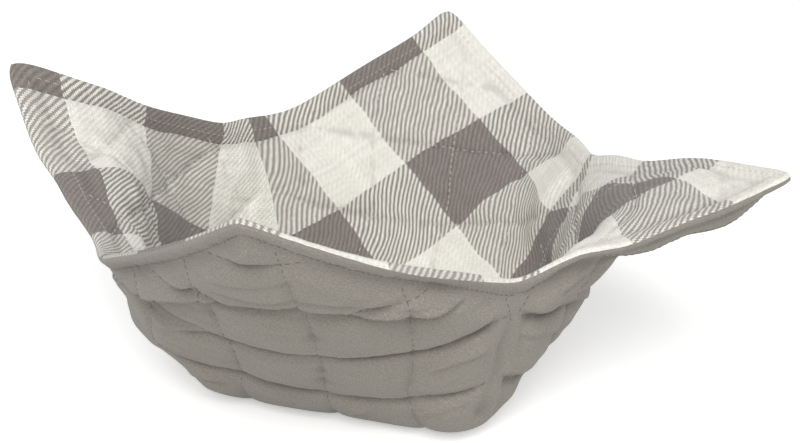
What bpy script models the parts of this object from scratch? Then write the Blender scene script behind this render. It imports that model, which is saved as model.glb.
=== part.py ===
# Microwave bowl cozy: two squares of cloth with wadding between them, quilted together, drawn up
# into a bowl by a dart in the middle of each side, and turned and topstitched round the rim.
# It is made the way it is sewn: one flat pattern is cut, darted and shaped, and each layer is then
# given its own thickness from that shape.
# Sizes are in millimetres until they reach the mesh. Z is up and the cozy stands on Z = 0.

import bpy
import bmesh
import numpy as np
from math import ceil, radians, sqrt
from mathutils import Vector

MM = 0.001

# Flat pattern
SIDE = 254.0                # finished side of the square
CORNER_RADIUS = 7.0         # rounding of the four tips
TOPSTITCH_INSET = 5.5       # stitched line round the rim, from the edge
DART_LENGTH = 52.0          # dart, from the edge inwards
DART_WIDTH = 48.0           # dart, at the edge

# Woven check and quilting
CHECK = 36.0                # side of one check
CELLS_PER_CHECK = 4         # pattern cells along one check
CHECK_SHIFT_X = -4.5        # a check line's distance from the middle of the square
CHECK_SHIFT_Y = 9.0
CELLS_PER_QUILT = 5         # quilting lines run corner to corner through the cells
QUILT_SHIFT_FRONT = -4.5    # x + y on one of the lines across the front and back petals
QUILT_SHIFT_SIDE = 13.5     # x - y on one of the lines across the left and right petals

# Layers, measured outwards from the liner's face
CLOTH = 0.8                 # each cloth
LAYER_GAP = 0.3             # between one layer and the next
STITCHED_WADDING = 0.8      # wadding squeezed under a line of stitches
PUFFED_WADDING = 6.2        # wadding in the middle of a quilted diamond
LINER_PUFF = 1.6            # rise of the liner's face in the middle of a diamond
PUFF_FULLNESS = 0.4         # lower is fuller, with a sharper valley at the stitches
RIM_CLOTH = 1.9             # turned edge of each cloth

# Standing shape
FOOT_RADIUS = 22.0
BASE_THICKNESS = 8.0        # cloth, wadding and liner under the bowl, pressed flat
PRESSED_RISE = 7.3          # height over which the padding goes from pressed flat to its own puff

# Four seams, from the one at +X round through +Y, and four petals, from the one between +X and +Y.
# base: half width of the flat base. wall: angle of the wall to the table. start: how far out on the
# cloth the wall begins to flare. flare: angle of the cloth beyond that. radius: of the bend between
# them. The lean values raise one half of a petal and lower the other. swing turns a petal's tip
# about the middle, in degrees.
SEAMS = {
    "right_back": {"base": 59.0, "wall": 71.0, "start": 114.0, "flare": 45.0, "radius": 30.0},
    "back_left": {"base": 59.0, "wall": 71.0, "start": 110.0, "flare": 45.0, "radius": 30.0},
    "left_front": {"base": 54.0, "wall": 65.0, "start": 106.0, "flare": 38.0, "radius": 30.0},
    "front_right": {"base": 56.0, "wall": 71.0, "start": 121.0, "flare": 40.0, "radius": 30.0},
}
PETALS = {
    "back": {"base": 50.0, "wall": 52.0, "start": 86.0, "flare": 47.0, "radius": 27.0,
             "wall_lean": 0.0, "start_lean": -1.0, "flare_lean": -8.0, "swing": 1.5},
    "left": {"base": 53.0, "wall": 72.0, "start": 123.0, "flare": 38.0, "radius": 26.0,
             "wall_lean": -6.0, "start_lean": 10.0, "flare_lean": 28.0, "swing": 6.0},
    "front": {"base": 41.0, "wall": 53.0, "start": 129.0, "flare": 45.0, "radius": 30.0,
              "wall_lean": 1.0, "start_lean": 0.0, "flare_lean": 0.0, "swing": 1.0},
    "right": {"base": 38.0, "wall": 66.0, "start": 104.0, "flare": 15.0, "radius": 28.0,
              "wall_lean": -8.0, "start_lean": 6.0, "flare_lean": 0.0, "swing": -3.0},
}
SWING_START = 60.0          # distance from the middle where a petal's swing begins
SWING_REACH = 120.0         # and over which it grows to its full angle
SWING_POWER = 1.5           # higher keeps the swing closer to the tip

# Sags of the outer cloth over a line of quilting that crosses a petal. line counts the lines from
# the one nearest the middle; sag is how far the padding hangs out above the line, and reach how far up
# it does; span is half the line's length.
SAGS = {
    "front_lip": {"petal": "front", "line": -4, "sag": 4.5, "reach": 17.0, "span": 80.0},
    "front_waist": {"petal": "front", "line": -3, "sag": 2.5, "reach": 14.0, "span": 70.0},
    "right_waist": {"petal": "right", "line": 3, "sag": 2.5, "reach": 14.0, "span": 60.0},
    "left_waist": {"petal": "left", "line": -4, "sag": 2.0, "reach": 14.0, "span": 60.0},
}

# Worked out from the sizes above
HALF = SIDE / 2
CELL = CHECK / CELLS_PER_CHECK
QUILT = CELLS_PER_QUILT * CELL
DART_TIP = HALF - DART_LENGTH
DART_HALF = DART_WIDTH / 2
TOPSTITCH = HALF - TOPSTITCH_INSET
LIP_CLOTH = CLOTH + LAYER_GAP
RIM_THICKNESS = 2 * RIM_CLOTH + LAYER_GAP
PETAL_HEADING = 45.0        # of the first petal; each of the others is a quarter turn on
SHARP_EDGE = 40.0           # edges that turn more than this are shaded sharp
SNAP = 0.01                 # points nearer than this are one point

# Cloth colours, as linear values
CREAM = (0.80, 0.79, 0.72, 1.0)
STRIPED_TWILL = (0.42, 0.40, 0.37, 1.0)
DARK_TWILL = (0.16, 0.14, 0.13, 1.0)
GREY_COTTON = (0.30, 0.28, 0.25, 1.0)
WADDING_WHITE = (0.85, 0.85, 0.83, 1.0)


def cloth_material(name, colour, roughness=0.92):
    material = bpy.data.materials.new(name)
    material.use_nodes = True
    shader = material.node_tree.nodes["Principled BSDF"]
    shader.inputs["Base Color"].default_value = colour
    shader.inputs["Roughness"].default_value = roughness
    shader.inputs["Metallic"].default_value = 0.0
    material.diffuse_color = colour
    return material


# The flat pattern

def pattern_lines(shift):
    """Cutting lines across the square: one for each cell, and the topstitched line at both ends.
    A line that crosses a dart has its mirror image too, so that the dart's two lips match."""
    count = ceil(SIDE / CELL)
    first = shift - CELL * round(shift / CELL) - CELL * count
    lines = [first + CELL * i for i in range(2 * count + 1)]
    lines = [x for x in lines if abs(x) <= TOPSTITCH - CELL / 2 + SNAP]
    mirrored = [-x for x in lines if abs(x) <= DART_HALF]
    lines += [x for x in mirrored if min(abs(x - y) for y in lines) > SNAP]
    return sorted(lines + [TOPSTITCH, -TOPSTITCH])


def diagonal_lines(shift):
    """Distances of the quilting lines from the middle, measured along one axis."""
    count = ceil(SIDE / QUILT)
    return [shift + QUILT * i for i in range(-count, count + 1)]


def cut(pattern, faces, point, across):
    """Cut the given faces along the line through point, at right angles to across."""
    edges = {edge for face in faces for edge in face.edges}
    corners = {vert for face in faces for vert in face.verts}
    bmesh.ops.bisect_plane(pattern, geom=list(faces) + list(edges) + list(corners), dist=SNAP,
                           plane_co=Vector((point[0], point[1], 0.0)),
                           plane_no=Vector((across[0], across[1], 0.0)))


def cut_dart(pattern, heading):
    """Cut a wedge of cloth out of the middle of the side that lies towards heading."""
    out = Vector((round(np.cos(radians(heading))), round(np.sin(radians(heading))), 0.0))
    side = Vector((-out.y, out.x, 0.0))
    for sign in (1, -1):
        near = [face for face in pattern.faces
                if face.calc_center_median().dot(out) > DART_TIP - CELL
                and abs(face.calc_center_median().dot(side)) < DART_HALF + CELL]
        lip = out * DART_LENGTH + side * sign * DART_HALF
        cut(pattern, near, out * DART_TIP, (-lip.y, lip.x))
    wedge = []
    for face in pattern.faces:
        centre = face.calc_center_median()
        reach = (centre.dot(out) - DART_TIP) / DART_LENGTH
        if abs(centre.dot(side)) < DART_HALF * reach:
            wedge.append(face)
    bmesh.ops.delete(pattern, geom=wedge, context="FACES")


def quilted_faces(pattern):
    """The faces that quilting may cut: none in the rim, and none that a dart's lip touches, because
    a lip that took more points would no longer match the other."""
    inside = HALF - 2 * TOPSTITCH_INSET
    return [face for face in pattern.faces
            if max(abs(face.calc_center_median().x), abs(face.calc_center_median().y)) < inside
            and not any(vert.is_boundary for vert in face.verts)]


def round_corners(pattern):
    """Draw each corner's square of cloth in to a quarter circle, ring by ring."""
    start = HALF - CORNER_RADIUS
    for vert in pattern.verts:
        x = abs(vert.co.x) - start
        y = abs(vert.co.y) - start
        if x > 0 and y > 0:
            pull = max(x, y) / sqrt(x * x + y * y)
            vert.co.x = np.sign(vert.co.x) * (start + x * pull)
            vert.co.y = np.sign(vert.co.y) * (start + y * pull)


def check_of(x, y):
    """0 in a cream check, 1 where cream and grey cross, 2 in a grey check."""
    column = int(np.floor((x - CHECK_SHIFT_X) / CHECK))
    row = int(np.floor((y - CHECK_SHIFT_Y) / CHECK))
    return (column + 1) % 2 + row % 2


def flat_pattern():
    """The square of cloth with its check lines, quilting lines and darts cut into it."""
    pattern = bmesh.new()
    bmesh.ops.create_grid(pattern, x_segments=1, y_segments=1, size=HALF)
    for x in pattern_lines(CHECK_SHIFT_X):
        cut(pattern, pattern.faces, (x, 0), (1, 0))
    for y in pattern_lines(CHECK_SHIFT_Y):
        cut(pattern, pattern.faces, (0, y), (0, 1))
    for heading in (0, 90, 180, 270):
        cut_dart(pattern, heading)
    for distance in diagonal_lines(QUILT_SHIFT_FRONT):
        cut(pattern, quilted_faces(pattern), (distance, 0), (1, 1))
    for distance in diagonal_lines(QUILT_SHIFT_SIDE):
        cut(pattern, quilted_faces(pattern), (distance, 0), (1, -1))
    bmesh.ops.triangulate(pattern, faces=pattern.faces, quad_method="BEAUTY")
    for face in pattern.faces:
        centre = face.calc_center_median()
        face.material_index = check_of(centre.x, centre.y)
    round_corners(pattern)
    return pattern


# The standing shape

def around(azimuth, key, lean=None):
    """A value at an azimuth, from the seams' and the petals' own: it runs smoothly from seam to seam,
    reaches the petal's value half way between them, and leans by a full sine wave. The seams
    themselves don't swing."""
    seams = [seam.get(key, 0.0) for seam in SEAMS.values()]
    petals = [petal[key] for petal in PETALS.values()]
    leans = [petal[lean] if lean else 0.0 for petal in PETALS.values()]
    quarter = int(azimuth % 360 // 90)
    turn = azimuth % 360 / 90 - quarter
    here, there = seams[quarter], seams[(quarter + 1) % 4]
    level = here + (there - here) * turn * turn * (3 - 2 * turn)
    rise = petals[quarter] - (here + there) / 2
    return level + rise * np.sin(np.pi * turn) + leans[quarter] * np.sin(2 * np.pi * turn)


def closed_azimuth(x, y, out):
    """Heading of a point once the darts are sewn shut: each petal is turned to fill a quarter."""
    heading = np.degrees(np.arctan2(y, x)) % 360
    quarter = int(heading // 90)
    a = DART_LENGTH ** 2 + DART_HALF ** 2
    b = 2 * DART_TIP * DART_LENGTH
    c = DART_TIP ** 2 - out ** 2
    reach = (-b + sqrt(max(b * b - 4 * a * c, 0.0))) / (2 * a)
    reach = min(max(reach, 0.0), 1.0)
    lip = np.degrees(np.arctan2(reach * DART_HALF, DART_TIP + reach * DART_LENGTH))
    middle = PETAL_HEADING + 90 * quarter
    return middle + (heading - middle) * PETAL_HEADING / (PETAL_HEADING - lip)


def profile(out, base, foot_angle, start, flare_radius, flare_angle):
    """Distance from the middle and height of a point that lies out along the cloth: flat base, round
    foot, straight wall, round flare, straight lip."""
    foot = min(max(out - base, 0.0), FOOT_RADIUS * foot_angle)
    r = min(out, base) + FOOT_RADIUS * np.sin(foot / FOOT_RADIUS)
    z = FOOT_RADIUS * (1 - np.cos(foot / FOOT_RADIUS))
    foot_end = base + FOOT_RADIUS * foot_angle
    wall_end = max(start, foot_end)
    wall = min(max(out - foot_end, 0.0), wall_end - foot_end)
    r += wall * np.cos(foot_angle)
    z += wall * np.sin(foot_angle)
    flare_length = flare_radius * max(foot_angle - flare_angle, 0.0)
    flare = min(max(out - wall_end, 0.0), flare_length)
    bend = foot_angle - flare / flare_radius
    r += flare_radius * (np.sin(foot_angle) - np.sin(bend))
    z += flare_radius * (np.cos(bend) - np.cos(foot_angle))
    lip = max(out - wall_end - flare_length, 0.0)
    return r + lip * np.cos(flare_angle), z + lip * np.sin(flare_angle)


def standing_point(x, y):
    """Where a point of the flat pattern lies on the standing cozy."""
    out = sqrt(x * x + y * y)
    if out < SNAP:
        return Vector((0.0, 0.0, BASE_THICKNESS))
    azimuth = closed_azimuth(x, y, out)
    r, z = profile(out, around(azimuth, "base"), radians(around(azimuth, "wall", "wall_lean")),
                   around(azimuth, "start", "start_lean"), around(azimuth, "radius"),
                   radians(around(azimuth, "flare", "flare_lean")))
    share = min(max((out - SWING_START) / SWING_REACH, 0.0), 1.0)
    swing = around(azimuth, "swing") * share ** SWING_POWER
    turned = radians(azimuth + swing)
    return Vector((r * np.cos(turned), r * np.sin(turned), z + BASE_THICKNESS))


def line_distance(petal, line):
    """How far a line of quilting that crosses a petal lies from the middle of the flat square."""
    shift = QUILT_SHIFT_FRONT if petal in ("front", "back") else QUILT_SHIFT_SIDE
    return abs(shift + QUILT * line) / sqrt(2)


def extra_padding(x, y):
    """How much thicker the sagging padding makes the cozy: most just above its line of quilting,
    nothing on the line or below it, and fading towards the line's ends."""
    padding = 0.0
    for sag in SAGS.values():
        heading = radians(PETAL_HEADING + 90 * list(PETALS).index(sag["petal"]))
        out = line_distance(sag["petal"], sag["line"])
        above = (x * np.cos(heading) + y * np.sin(heading) - out) / sag["reach"]
        along = (y * np.cos(heading) - x * np.sin(heading)) / sag["span"]
        if above > 0 and abs(along) < 1:
            padding += sag["sag"] * (1 - along ** 2) * sqrt(above) * np.exp((1 - above * above) / 2)
    return padding


def quilt_puff(x, y):
    """0 on a line of quilting, 1 in the middle of a diamond."""
    one = abs(np.sin(np.pi * (x + y - QUILT_SHIFT_FRONT) / QUILT))
    other = abs(np.sin(np.pi * (x - y - QUILT_SHIFT_SIDE) / QUILT))
    return (one * other) ** PUFF_FULLNESS


def edge_distance(x, y):
    """How far a point of the flat pattern lies from the rim, and from the nearest dart seam."""
    rim = HALF - max(abs(x), abs(y))
    out, off = max(abs(x), abs(y)), min(abs(x), abs(y))
    seam = off - DART_HALF * (out - DART_TIP) / DART_LENGTH if out > DART_TIP else off + DART_TIP - out
    return rim, abs(seam)


def shaped_cloth():
    """The pattern, darted and drawn up into the bowl, as the liner's face. Each point keeps how much
    it puffs, its extra padding and its distance from the rim."""
    cloth = flat_pattern()
    puff = cloth.verts.layers.float.new("puff")
    rim = cloth.verts.layers.float.new("rim")
    padding = cloth.verts.layers.float.new("padding")
    for vert in cloth.verts:
        x, y = vert.co.x, vert.co.y
        from_rim, from_seam = edge_distance(x, y)
        calm = min(from_seam / CELL, 1.0) * min(max(from_rim - TOPSTITCH_INSET, 0.0) / CELL, 1.0)
        vert[puff] = quilt_puff(x, y) * calm
        vert[rim] = from_rim
        vert[padding] = extra_padding(x, y) * calm
        vert.co = standing_point(x, y)
    bmesh.ops.remove_doubles(cloth, verts=cloth.verts, dist=SNAP)
    bmesh.ops.recalc_face_normals(cloth, faces=cloth.faces)
    cloth.normal_update()
    if min(cloth.verts, key=lambda vert: vert.co.length).normal.z < 0:
        bmesh.ops.reverse_faces(cloth, faces=cloth.faces)
        cloth.normal_update()
    return cloth


def layer_depths(vert, puff, padding, rim):
    """Depths below the liner's face of the six faces at one point: liner, wadding, outer cloth."""
    if rim < TOPSTITCH_INSET - SNAP:
        return (0.0, RIM_CLOTH, None, None, RIM_CLOTH + LAYER_GAP, RIM_THICKNESS)
    top = LINER_PUFF * (1 - puff)
    total = top + 2 * LIP_CLOTH + STITCHED_WADDING + (PUFFED_WADDING - STITCHED_WADDING) * puff
    total += padding
    down = -vert.normal.z
    if down < 0:
        table = vert.co.z / -down
        on_base = min(max((vert.co.z - BASE_THICKNESS) / PRESSED_RISE, 0.0), 1.0)
        total = min(table, total + (BASE_THICKNESS - total) * (1 - on_base))
    wadding_top = top + LIP_CLOTH
    wadding_bottom = total - LIP_CLOTH
    return (top, top + CLOTH, wadding_top, wadding_bottom, wadding_bottom + LAYER_GAP, total)


def layer(name, cloth, materials, upper, lower, inset=False):
    """One layer of the cozy: the shaped cloth thickened between two of the six depths."""
    mesh = cloth.copy()
    puff = mesh.verts.layers.float["puff"]
    padding = mesh.verts.layers.float["padding"]
    rim = mesh.verts.layers.float["rim"]
    if inset:
        margin = [face for face in mesh.faces if any(v[rim] < TOPSTITCH_INSET - SNAP for v in face.verts)]
        bmesh.ops.delete(mesh, geom=margin, context="FACES")
    mesh.verts.ensure_lookup_table()
    places = []
    for vert in mesh.verts:
        depths = layer_depths(vert, vert[puff], vert[padding], vert[rim])
        places.append((vert.co - vert.normal * depths[upper], vert.co - vert.normal * depths[lower]))
    back = mesh.verts.layers.int.new("point")
    for index, vert in enumerate(mesh.verts):
        vert[back] = index
    extruded = bmesh.ops.extrude_face_region(mesh, geom=mesh.faces[:])
    lower_side = {v for v in extruded["geom"] if isinstance(v, bmesh.types.BMVert)}
    for vert in mesh.verts:
        above, below = places[vert[back]]
        vert.co = (below if vert in lower_side else above) * MM
    bmesh.ops.recalc_face_normals(mesh, faces=mesh.faces)
    data = bpy.data.meshes.new(name)
    mesh.to_mesh(data)
    mesh.free()
    for material in materials:
        data.materials.append(material)
    if len(materials) == 1:
        data.polygons.foreach_set("material_index", [0] * len(data.polygons))
    data.shade_smooth()
    data.set_sharp_from_angle(angle=radians(SHARP_EDGE))
    return bpy.data.objects.new(name, data)


def build():
    for existing in list(bpy.data.objects):
        bpy.data.objects.remove(existing)
    collection = bpy.data.collections.new("bowl_cozy")
    bpy.context.scene.collection.children.link(collection)
    cloth = shaped_cloth()
    checks = [cloth_material("cream_cotton", CREAM), cloth_material("striped_twill", STRIPED_TWILL),
              cloth_material("dark_twill", DARK_TWILL)]
    collection.objects.link(layer("check_liner", cloth, checks, 0, 1))
    collection.objects.link(layer("batting", cloth, [cloth_material("wadding", WADDING_WHITE)], 2, 3, True))
    collection.objects.link(layer("outer_cover", cloth, [cloth_material("grey_cotton", GREY_COTTON)], 4, 5))
    cloth.free()


build()
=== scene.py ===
# Microwave bowl cozy: a quilted square of cloth with a dart in each side, drawn up into a bowl.
# The cloth is worked out flat, in millimetres, and then stood up, so the checks, the quilting
# and every stitch follow the same two numbers: x and y on the flat square.

import bpy
import numpy as np
from math import radians, pi, sqrt
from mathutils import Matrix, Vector


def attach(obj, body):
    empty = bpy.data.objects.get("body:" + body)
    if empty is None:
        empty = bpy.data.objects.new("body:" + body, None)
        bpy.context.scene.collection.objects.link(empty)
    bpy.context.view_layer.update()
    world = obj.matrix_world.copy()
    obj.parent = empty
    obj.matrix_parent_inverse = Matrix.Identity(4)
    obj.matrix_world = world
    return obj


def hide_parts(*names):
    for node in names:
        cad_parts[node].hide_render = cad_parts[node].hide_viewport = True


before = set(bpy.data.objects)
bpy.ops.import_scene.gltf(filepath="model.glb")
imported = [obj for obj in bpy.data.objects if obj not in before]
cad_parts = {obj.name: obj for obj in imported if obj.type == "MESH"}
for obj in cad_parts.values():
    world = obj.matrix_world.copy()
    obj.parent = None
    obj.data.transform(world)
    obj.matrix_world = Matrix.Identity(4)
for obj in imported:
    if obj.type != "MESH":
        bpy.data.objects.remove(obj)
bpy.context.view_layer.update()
mm = 0.001
root2 = sqrt(2)

# The flat square
pattern = {
    "half": 127.0,            # half of the finished side
    "cornerRadius": 6.5,
    "dartLength": 52.0,       # from the edge inwards
    "dartHalf": 24.0,         # half of a dart's width at the edge
    "check": 36.0,
    "checkX": -5.1,           # where one check line crosses each axis
    "checkY": 10.0,
    "quilt": 30.0,
    # (x + y) / root 2 on each line of one family and (x - y) / root 2 on each of the other, sewn by
    # eye, and the bends in them: a place along the line, how far round it, and how far sideways
    "quiltA": (-187, -157, -126.5, -96, -67, -37, -8, 22, 51, 80, 115, 146, 177),
    "quiltB": (-172, -142, -113, -83, -54, -25, 7, 36.5, 67, 97, 127, 157),
    "bendA": ((20, 40, 0.8), (-60, 30, -0.8)),
    "bendB": ((-58, 25, -4.0), (88, 16, 2.5)),
    "topstitch": 5.5,         # stitched line round the rim, from the edge
}
half = pattern["half"]
dartTip = half - pattern["dartLength"]

# The standing shape. Seams go round from +X, petals from the one between +X and +Y, which is the
# back one, then left, front and right. Lengths are out along the cloth, angles from the table.
shape = {
    "footRadius": 22.0,
    "baseHeight": 8.0,        # the liner's face above the table
    "base": ((59, 59, 54, 56), (50, 53, 41, 38), (0, 0, 0, 0)),
    "wall": ((71, 71, 65, 71), (52, 72, 53, 66), (0, -6, 1, -8)),
    "start": ((114, 110, 106, 121), (86, 123, 129, 104), (-1, 10, 0, 6)),
    "flare": ((45, 45, 38, 40), (47, 38, 45, 15), (-8, 28, 0, 0)),
    "radius": ((30, 30, 30, 30), (27, 26, 30, 28), (0, 0, 0, 0)),
    "swing": ((0, 0, 0, 0), (1.5, 6, 1, -3), (0, 0, 0, 0)),
    "swingStart": 60.0,
    "swingReach": 120.0,
    "swingPower": 1.5,
}

# Where the real cloth leaves that rule: a place on the closed square, how far round it the cloth is
# drawn along, and how far it goes there in X, Y and Z
pulls = {
    "leftTip": ((-127, 127), 22, (-4, 5, 6.5)),
    "leftTipWaist": ((-108, 114), 18, (2.5, -2.5, -3)),
    "leftRimBack": ((-68, 122), 24, (-0.5, -0.5, -2)),
    "leftRimFront": ((-127, 90), 26, (-1.5, 0.5, -1.5)),
    "leftBelly": ((-112, 72), 18, (2.5, -1, 1)),
    "leftSeamFront": ((-125, 26), 22, (3.2, -3, -2.5)),
    "rightTip": ((127, -127), 24, (3, -1.5, 1)),
    "rightRimFront": ((50, -127), 22, (-4, 0, -4.5)),
    "rightCrest": ((60, -98), 19, (3, -1, 5)),
    "rightCrestNearSeam": ((38, -109), 18, (-1, 1, 4.5)),
    "rightCrestMiddle": ((82, -96), 13, (0.5, 0, 3)),
    "rightCrestEnd": ((103, -92), 16, (1.5, 0, 2)),
    "rightHollow": ((74, -72), 17, (2, -1.5, -4.5)),
    "rightRimMiddle": ((92, -127), 22, (0, -1, -1.7)),
    "rightSeamBack": ((127, -47), 22, (-2.5, 0, -3)),
    "rightValley": ((98, 4), 16, (-6.0, 3.4, 1.0)),
    "rightValleyLow": ((82, -14), 16, (-3.2, 1.8, 1.5)),
    "backTip": ((127, 127), 20, (-1, 1.5, 2)),
    "backRimRight": ((127, 50), 25, (0, -1, -2.5)),
    "backRimLeft": ((97, 127), 22, (1.5, -0.5, 0)),
    "backSeam": ((0, 127), 16, (-2.5, 3, 3.5)),
    "backSeamSide": ((-24, 120), 18, (2, -1.5, -1)),
    "frontFoot": ((-3, -66), 18, (-2, -5, 0)),
    "rightFoot": ((24, -80), 18, (0.5, -1, 0)),
}

# The padding, as depths below the liner's face
padding = {
    "linerDip": 2.0,          # of the liner at a line of stitches
    "stitched": 4.2,          # outer cloth at a line of stitches
    "puffed": 7.6,            # outer cloth in the middle of a diamond
    "valley": 2.9,            # how soon the cloth rises beside the stitches
    "dome": 0.35,             # share of the low dome in a diamond's puff
    "weakLine": 0.5,          # share of the groove at a line that runs up the wall, not round it
    "rimRadius": 1.6,         # of the rolled rim
    "seamReach": 12.0,        # how far a dart's valley reaches
    "seamFold": 4.0,          # how far from a dart's seam the folds come in
    "sideBlend": 12.0,        # how soon the deep lines change over from one family to the other
    "calmRim": (5.5, 14),     # distances from the rim between which puffs and waves come in
    "rimRise": (4, 14),       # between which the outer cloth leaves the rolled rim
    "dipRise": (4, 10),       # and the liner
    "foldRise": (5, 11),      # and the folds come in
    "pucker": 0.28,           # small wrinkles along the stitches, how far they reach, and how much
    "puckerWave": 5.0,        # of them each cloth shows
    "puckerReach": 4.0,
    "linerPucker": 1.3,
    "outerPucker": 0.5,
    "slack": 0.6,             # long soft waves in the cloth
    "slackWave": 34.0,
    "ripple": 0.24,           # short ones
    "rippleWave": 14.0,
    "rimPucker": 0.26,        # of the seam allowance under the topstitching
    "rimPuckerWave": 4.4,
    "rimPuckerAt": (4.5, 2.6),
    "linerGroove": 0.12,      # at the topstitching
    "outerGroove": 0.55,
    "grooveWidth": 1.5,
    "wrinkle": 0.22,          # fine wrinkles of the liner, and how much more of them on the left petal
    "wrinkleWave": 11.0,
    "leftWrinkle": 0.38,
    "leftPetal": (-100, 72, 45),
    "thinnest": 1.5,          # wadding left between the cloths
    "crease": 0.26,           # fine creases round the wall of the outer cloth
    "creaseWave": 7.5,
    "creaseSpread": 0.3,      # of their headings, in radians
}

# Where the outer cloth is fuller than its quilting makes it: a place on the closed square, how far
# round it, and by how much
plump = {
    "leftFoot": ((-92, 0), 18, 5.0),
    "leftWaist": ((-110, 8), 13, 2.2),
    "rightWaist": ((46, -90), 20, 3.4),
    "rightUnderside": ((64, -117), 17, 5.6),
    "rightUnderTip": ((97, -119), 18, 6.2),
}


def dartOpening(out):
    # half of a dart's width at a distance out from the middle: nothing up to its tip, then straight
    share = np.clip((np.abs(out) - dartTip) / pattern["dartLength"], 0, 1)
    return pattern["dartHalf"] * share


def openDarts(s, t, sideX=None, sideY=None):
    # closed square to flat cloth: each half side gives up its dart's width, x = s + D(t) (1 - s / half)
    sideX = np.where(s < 0, -1.0, 1.0) if sideX is None else sideX
    sideY = np.where(t < 0, -1.0, 1.0) if sideY is None else sideY
    a, b = np.abs(s), np.abs(t)
    x = a + dartOpening(b) * (1 - a / half)
    y = b + dartOpening(a) * (1 - b / half)
    return x * sideX, y * sideY


def closeDarts(x, y):
    # flat cloth to closed square: the same rule turned round, found by repeating it a few times
    a, b = np.abs(x), np.abs(y)
    s, t = a, b
    for step in range(12):
        wide, tall = dartOpening(t), dartOpening(s)
        s = (a - wide) / (1 - wide / half)
        t = (b - tall) / (1 - tall / half)
    return np.clip(s, 0, half) * np.sign(x), np.clip(t, 0, half) * np.sign(y)


def roundCorners(s, t):
    # each corner's square of cloth is drawn in to a quarter circle, ring by ring
    start = half - pattern["cornerRadius"]
    a, b = np.abs(s) - start, np.abs(t) - start
    corner = (a > 0) & (b > 0)
    pull = np.where(corner, np.maximum(a, b) / np.maximum(np.hypot(a, b), 1e-6), 1.0)
    a = np.where(corner, a * pull, a) + start
    b = np.where(corner, b * pull, b) + start
    return np.where(s < 0, -a, a), np.where(t < 0, -b, b)


def around(azimuth, key):
    # seam value to seam value by a smooth step, plus the petal's rise by half a sine wave and its
    # lean by a whole one
    seam, petal, lean = (np.array(values, float) for values in shape[key])
    quarter = (np.mod(azimuth, 360) // 90).astype(int) % 4
    turn = np.mod(azimuth, 360) / 90 - quarter
    here, there = seam[quarter], seam[(quarter + 1) % 4]
    level = here + (there - here) * turn * turn * (3 - 2 * turn)
    rise = petal[quarter] - (here + there) / 2
    return level + rise * np.sin(pi * turn) + lean[quarter] * np.sin(2 * pi * turn)


def stand(x, y):
    # a point out along the cloth goes up a profile of arcs and straights: flat base, round foot,
    # straight wall, round flare, straight lip; its heading is turned to close the darts
    out = np.hypot(x, y)
    heading = np.mod(np.degrees(np.arctan2(y, x)), 360)
    quarter = np.minimum(heading // 90, 3)
    a = pattern["dartLength"] ** 2 + pattern["dartHalf"] ** 2
    b = 2 * dartTip * pattern["dartLength"]
    root = np.sqrt(np.maximum(b * b - 4 * a * (dartTip ** 2 - out ** 2), 0))
    reach = np.clip((root - b) / (2 * a), 0, 1)
    lip = np.degrees(np.arctan2(reach * pattern["dartHalf"], dartTip + reach * pattern["dartLength"]))
    middle = 45 + 90 * quarter
    azimuth = middle + (heading - middle) * 45 / (45 - lip)
    base, start, radius = around(azimuth, "base"), around(azimuth, "start"), around(azimuth, "radius")
    wall, flare = np.radians(around(azimuth, "wall")), np.radians(around(azimuth, "flare"))
    foot = shape["footRadius"]
    bend = np.clip(out - base, 0, foot * wall) / foot
    r = np.minimum(out, base) + foot * np.sin(bend)
    z = shape["baseHeight"] + foot * (1 - np.cos(bend))
    footEnd = base + foot * wall
    wallEnd = np.maximum(start, footEnd)
    straight = np.clip(out - footEnd, 0, wallEnd - footEnd)
    r += straight * np.cos(wall)
    z += straight * np.sin(wall)
    flareLength = radius * np.maximum(wall - flare, 0)
    bend = wall - np.clip(out - wallEnd, 0, flareLength) / radius
    r += radius * (np.sin(wall) - np.sin(bend))
    z += radius * (np.cos(bend) - np.cos(wall))
    straight = np.maximum(out - wallEnd - flareLength, 0)
    r += straight * np.cos(flare)
    z += straight * np.sin(flare)
    grow = np.clip((out - shape["swingStart"]) / shape["swingReach"], 0, 1)
    grow = grow ** shape["swingPower"]
    turned = np.radians(azimuth + around(azimuth, "swing") * grow)
    return np.stack([r * np.cos(turned), r * np.sin(turned), z], -1)


def soften(grid, passes):
    # each point moves to the mean of itself and its neighbours; an edge only along itself
    for step in range(passes):
        for axis in (0, 1):
            ends = [(0, 0)] * grid.ndim
            ends[axis] = (1, 1)
            wide = np.pad(grid, ends, mode="reflect", reflect_type="odd")
            n = grid.shape[axis]
            before, after = wide.take(range(n), axis), wide.take(range(2, n + 2), axis)
            grid = grid / 2 + (before + after) / 4
    return grid


def unit(vectors):
    return vectors / np.maximum(np.linalg.norm(vectors, axis=-1, keepdims=True), 1e-9)


def smoothStep(value, low, high):
    share = np.clip((value - low) / (high - low), 0, 1)
    return share * share * (3 - 2 * share)


def waves(x, y, wavelength, seed, middle=0.0, spread=pi):
    # a sum of a dozen plane waves with seeded headings and phases, near the given wavelength
    random = np.random.default_rng(seed)
    total = np.zeros_like(x)
    for heading, phase, stretch in zip(random.uniform(middle - spread, middle + spread, 12),
                                       random.uniform(0, 2 * pi, 12), random.uniform(0.7, 1.5, 12)):
        along = (x * np.cos(heading) + y * np.sin(heading)) * 2 * pi / (wavelength * stretch)
        total += np.sin(along + phase)
    return total / 6


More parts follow.
